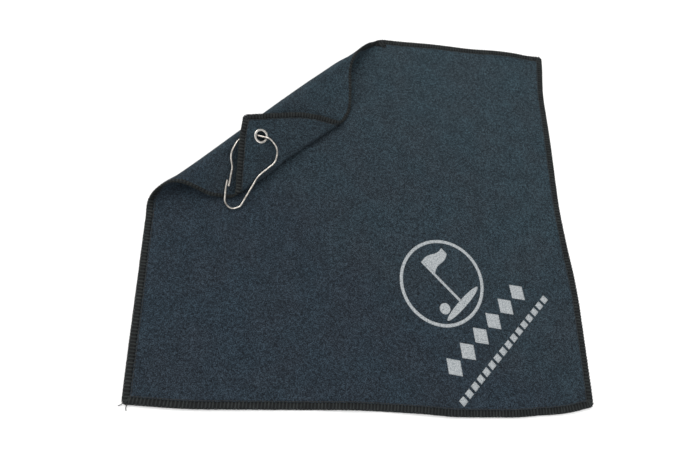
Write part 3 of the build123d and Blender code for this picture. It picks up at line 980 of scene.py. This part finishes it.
def microfibre():
    """Short-pile knit: tight loops about a millimetre across, lighter loop tips, mottled nap, and painted
    light that makes the cloth lighter and more teal towards the upper right.
    """
    finish = Finish("teal_microfibre", 0.95)
    flat = finish.scaled("UV", MILLIMETRES)
    loops = finish.cells(flat, 0.95)
    fuzz = finish.noise(flat, 1.05, 4.0, 0.7)
    tufts = finish.noise(flat, 0.36, 2.0, 0.5)
    nap = finish.noise(flat, 0.07, 3.0, 0.6)
    pile = finish.math("MULTIPLY", fuzz, 0.7)
    pile = finish.math("ADD", pile, finish.math("MULTIPLY", tufts, 0.26))
    pile = finish.math("ADD", pile, finish.math("MULTIPLY", nap, 0.12))
    pile = finish.math("SUBTRACT", pile, finish.math("MULTIPLY", loops, 0.2))
    base = finish.ramp(
        pile,
        [
            (0.25, linear(11, 15, 19)),
            (0.42, linear(38, 46, 52)),
            (0.59, linear(73, 88, 97)),
        ],
    )
    # Painted light: the colour is made lighter and more teal towards the upper right of the flat towel, a
    # lighting gradient painted in and broken up by random patches
    slope = finish.dot(finish.coordinates.outputs["UV"], (1.1, 1.6, 0.0))
    patches = finish.noise(finish.coordinates.outputs["UV"], 9.0, 2.0, 0.5)
    painted_light_and_patches = finish.math("ADD", slope, finish.math("MULTIPLY", patches, 0.5))
    tint = finish.ramp(
        painted_light_and_patches,
        [(0.1, (0.68, 0.71, 0.785, 1)), (0.2, (0.755, 0.79, 0.83, 1)), (0.6, (0.86, 0.98, 1.0, 1))],
    )
    dye = finish.noise(finish.coordinates.outputs["UV"], 22.0, 3.0, 0.6)
    cast = finish.ramp(dye, [(0.38, (1.0, 0.95, 0.93, 1)), (0.62, (0.93, 1.0, 1.0, 1))])
    dyed = finish.mix(1.0, base, cast, "MULTIPLY")
    finish.colour(finish.mix(1.0, dyed, tint, "MULTIPLY"))
    finish.bump(finish.math("ADD", fuzz, finish.math("MULTIPLY", loops, -0.8)), 0.9, 0.0009)
    shader = finish.shader.inputs
    shader["Specular IOR Level"].default_value = 0.15
    shader["Sheen Weight"].default_value = 0.07
    shader["Sheen Roughness"].default_value = 0.6
    shader["Sheen Tint"].default_value = linear(150, 170, 185)
    return finish.material


def edging_thread(name, shades):
    """Spun polyester thread with fine fibres, in three shades from its hollows to its crests."""
    finish = Finish(name, 0.75)
    place = finish.scaled("Object", MILLIMETRES)
    fibres = finish.noise(place, 3.2, 3.0, 0.6)
    dust = finish.noise(place, 0.14, 2.0, 0.5)
    thread = finish.math("ADD", finish.math("MULTIPLY", fibres, 0.7), finish.math("MULTIPLY", dust, 0.3))
    finish.colour(finish.ramp(thread, list(zip((0.32, 0.5, 0.68), shades))))
    finish.rough(fibres, 0.6, 0.85)
    finish.bump(fibres, 0.5, 0.0002)
    finish.shader.inputs["Specular IOR Level"].default_value = 0.2
    return finish.material


def needle_thread():
    """The needle thread: the same black, a little tighter and glossier."""
    finish = Finish("black_needle_thread", 0.55)
    place = finish.scaled("Object", MILLIMETRES)
    twist = finish.wave(place, 1.4, 1.5)
    fibres = finish.noise(place, 4.0, 2.0, 0.6)
    finish.colour(finish.ramp(fibres, [(0.3, linear(10, 12, 13)), (0.7, linear(30, 33, 34))]))
    finish.rough(fibres, 0.45, 0.7)
    finish.bump(twist, 0.4, 0.00015)
    return finish.material


def nickel(name, light, dark, rough_low, rough_high):
    """Bright plated metal with fine drawn scratches and dull finger marks."""
    finish = Finish(name, 0.2, 1.0)
    fine = finish.scaled("Object", (1000.0, 1000.0, 6000.0))
    broad = finish.scaled("Object", MILLIMETRES)
    scratches = finish.noise(fine, 2.2, 3.0, 0.7)
    marks = finish.noise(broad, 0.35, 3.0, 0.6)
    finish.colour(finish.ramp(marks, [(0.32, dark), (0.62, light)]))
    half_scratches = finish.math("MULTIPLY", scratches, 0.5)
    half_marks = finish.math("MULTIPLY", marks, 0.5)
    finish.rough(finish.math("ADD", half_scratches, half_marks), rough_low, rough_high)
    finish.bump(scratches, 0.12, 0.00004)
    return finish.material


def print_ink():
    """Pale silver-grey ink that lies on the tips of the pile: the dark cloth shows between."""
    finish = Finish("silver_grey_ink", 0.7)
    flat = finish.scaled("UV", MILLIMETRES)
    pile = finish.noise(flat, 0.95, 4.0, 0.7)
    loops = finish.cells(flat, 0.95)
    cover = finish.math("SUBTRACT", pile, finish.math("MULTIPLY", loops, 0.18))
    finish.colour(
        finish.ramp(
            cover,
            [(0.14, linear(42, 50, 56)), (0.28, linear(116, 123, 127)), (0.5, linear(168, 172, 174))],
        )
    )
    finish.bump(pile, 0.6, 0.0005)
    finish.shader.inputs["Specular IOR Level"].default_value = 0.3
    return finish.material


def pale_floor():
    """A plain white table with the faintest unevenness."""
    finish = Finish("pale_floor", 0.85)
    mottle = finish.noise(finish.scaled("Object", (4.0, 4.0, 4.0)), 1.0, 2.0, 0.5)
    finish.colour(finish.ramp(mottle, [(0.3, (0.9, 0.9, 0.9, 1)), (0.7, (0.92, 0.92, 0.92, 1))]))
    finish.shader.inputs["Specular IOR Level"].default_value = 0.1
    return finish.material


def finish_with(piece, material):
    piece.data.materials.append(material)
    return piece


# The towel's pieces
CLOTH = microfibre()
# The mat under the loops is the same thread in much darker shades: painted shade between the loops
THREAD_SHADE = edging_thread("shaded_thread_mat", (linear(5, 6, 7), linear(12, 14, 15), linear(22, 25, 26)))
THREAD = edging_thread("olive_black_thread", (linear(15, 17, 18), linear(31, 35, 36), linear(55, 59, 57)))
# The rim chain's thread is a little lighter than the loops: a painted highlight along the rim
RIM_HIGHLIGHT_THREAD = edging_thread("rim_highlight_thread", (linear(17, 19, 18), linear(34, 37, 35), linear(57, 60, 55)))
NEEDLE = needle_thread()
WIRE_NICKEL = nickel("drawn_nickel_wire", linear(196, 191, 184), linear(140, 135, 130), 0.18, 0.42)
EYELET_NICKEL = nickel("pressed_nickel", linear(212, 209, 203), linear(160, 156, 151), 0.12, 0.36)
INK = print_ink()


flat_piece = finish_with(flat_cloth(), CLOTH)
corner_piece = finish_with(corner_cloth(), CLOTH)
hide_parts("towel_panel")
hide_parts("towel_folded_corner")

flat_edges = []
corner_edges = []
for side in ("bottom", "right", "top", "left"):
    edge = side_edge(side)
    in_corner = from_corner(edge.place[:, 0], edge.place[:, 1]) < SEAM_FROM_CORNER
    made = edge_pieces(side, edge.part(~in_corner), "", "")
    flat_edges.append((side, made))
    if in_corner.any():
        corner_edges.append(edge_pieces(side, edge.part(in_corner), "_folded", "_folded"))

for side, pieces in flat_edges:
    for piece in pieces:
        if side in ("top", "left"):
            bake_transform(piece)
        else:
            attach(piece, "root")
for pieces in corner_edges:
    for piece in pieces:
        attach(piece, "corner")
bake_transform(flat_piece)
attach(corner_piece, "corner")

eyelet_piece = finish_with(eyelet(), EYELET_NICKEL)
washer_piece = finish_with(backing_washer(), EYELET_NICKEL)
for piece, node in ((eyelet_piece, "eyelet_barrel"), (washer_piece, "eyelet_washer")):
    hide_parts(node)
    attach(piece, "corner")

wire_piece, leg_piece, split_place, leg_place = hook()
for piece, node in ((wire_piece, "hook_wire"), (leg_piece, "hook_latch_leg")):
    finish_with(piece, WIRE_NICKEL)
    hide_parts(node)
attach(wire_piece, "hook")
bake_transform(leg_piece)

ink_piece = finish_with(printed_motif(), INK)
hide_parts("printed_motif")
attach(ink_piece, "root")

# Studio
bpy.ops.mesh.primitive_plane_add(size=8.0, location=(0, 0, 0))
floor = bpy.context.object
floor.name = "floor"
finish_with(floor, pale_floor())


def softbox(name, place, aim, size, power, tint):
    """A square area light at place that faces aim."""
    light = bpy.data.lights.new(name, "AREA")
    light.size = size
    light.energy = power
    light.color = tint
    lamp = bpy.data.objects.new(name, light)
    lamp.location = place
    lamp.rotation_euler = (Vector(aim) - Vector(place)).to_track_quat("-Z", "Y").to_euler()
    bpy.context.collection.objects.link(lamp)


softbox("overhead_softbox", (-0.5, 0.7, 1.6), (0, 0, 0), 1.4, 22.0, (1.0, 0.99, 0.97))
softbox("front_fill", (0.7, -1.3, 1.3), (0, 0, 0), 1.2, 9.0, (0.97, 0.98, 1.0))
softbox("side_fill", (-1.5, -0.3, 0.9), (0, 0, 0), 0.9, 5.0, (1.0, 1.0, 1.0))

world = bpy.data.worlds.new("studio_white")
world.use_nodes = True
world.node_tree.nodes["Background"].inputs["Color"].default_value = (1.0, 1.0, 1.0, 1.0)
world.node_tree.nodes["Background"].inputs["Strength"].default_value = 0.72
bpy.context.scene.world = world
bpy.context.scene.view_settings.view_transform = "Standard"
bpy.context.scene.view_settings.look = "None"

# Camera: place and the directions of its right, up and back
CAMERA_PLACE = Vector((-0.10578, -0.21582, 0.48163))
CAMERA_RIGHT = Vector((0.98454966, -0.00493186, 0.1750361))
CAMERA_UP = Vector((-0.05615147, 0.93792231, 0.34227))
CAMERA_BACK = Vector((-0.16585829, -0.34681035, 0.92315416))
lens = bpy.data.cameras.new("camera")
lens.sensor_width = 36.0
lens.lens = 28.954
camera = bpy.data.objects.new("camera", lens)
turn = Matrix((CAMERA_RIGHT, CAMERA_UP, CAMERA_BACK)).transposed().to_4x4()
camera.matrix_world = Matrix.Translation(CAMERA_PLACE) @ turn
bpy.context.collection.objects.link(camera)
bpy.context.scene.camera = camera
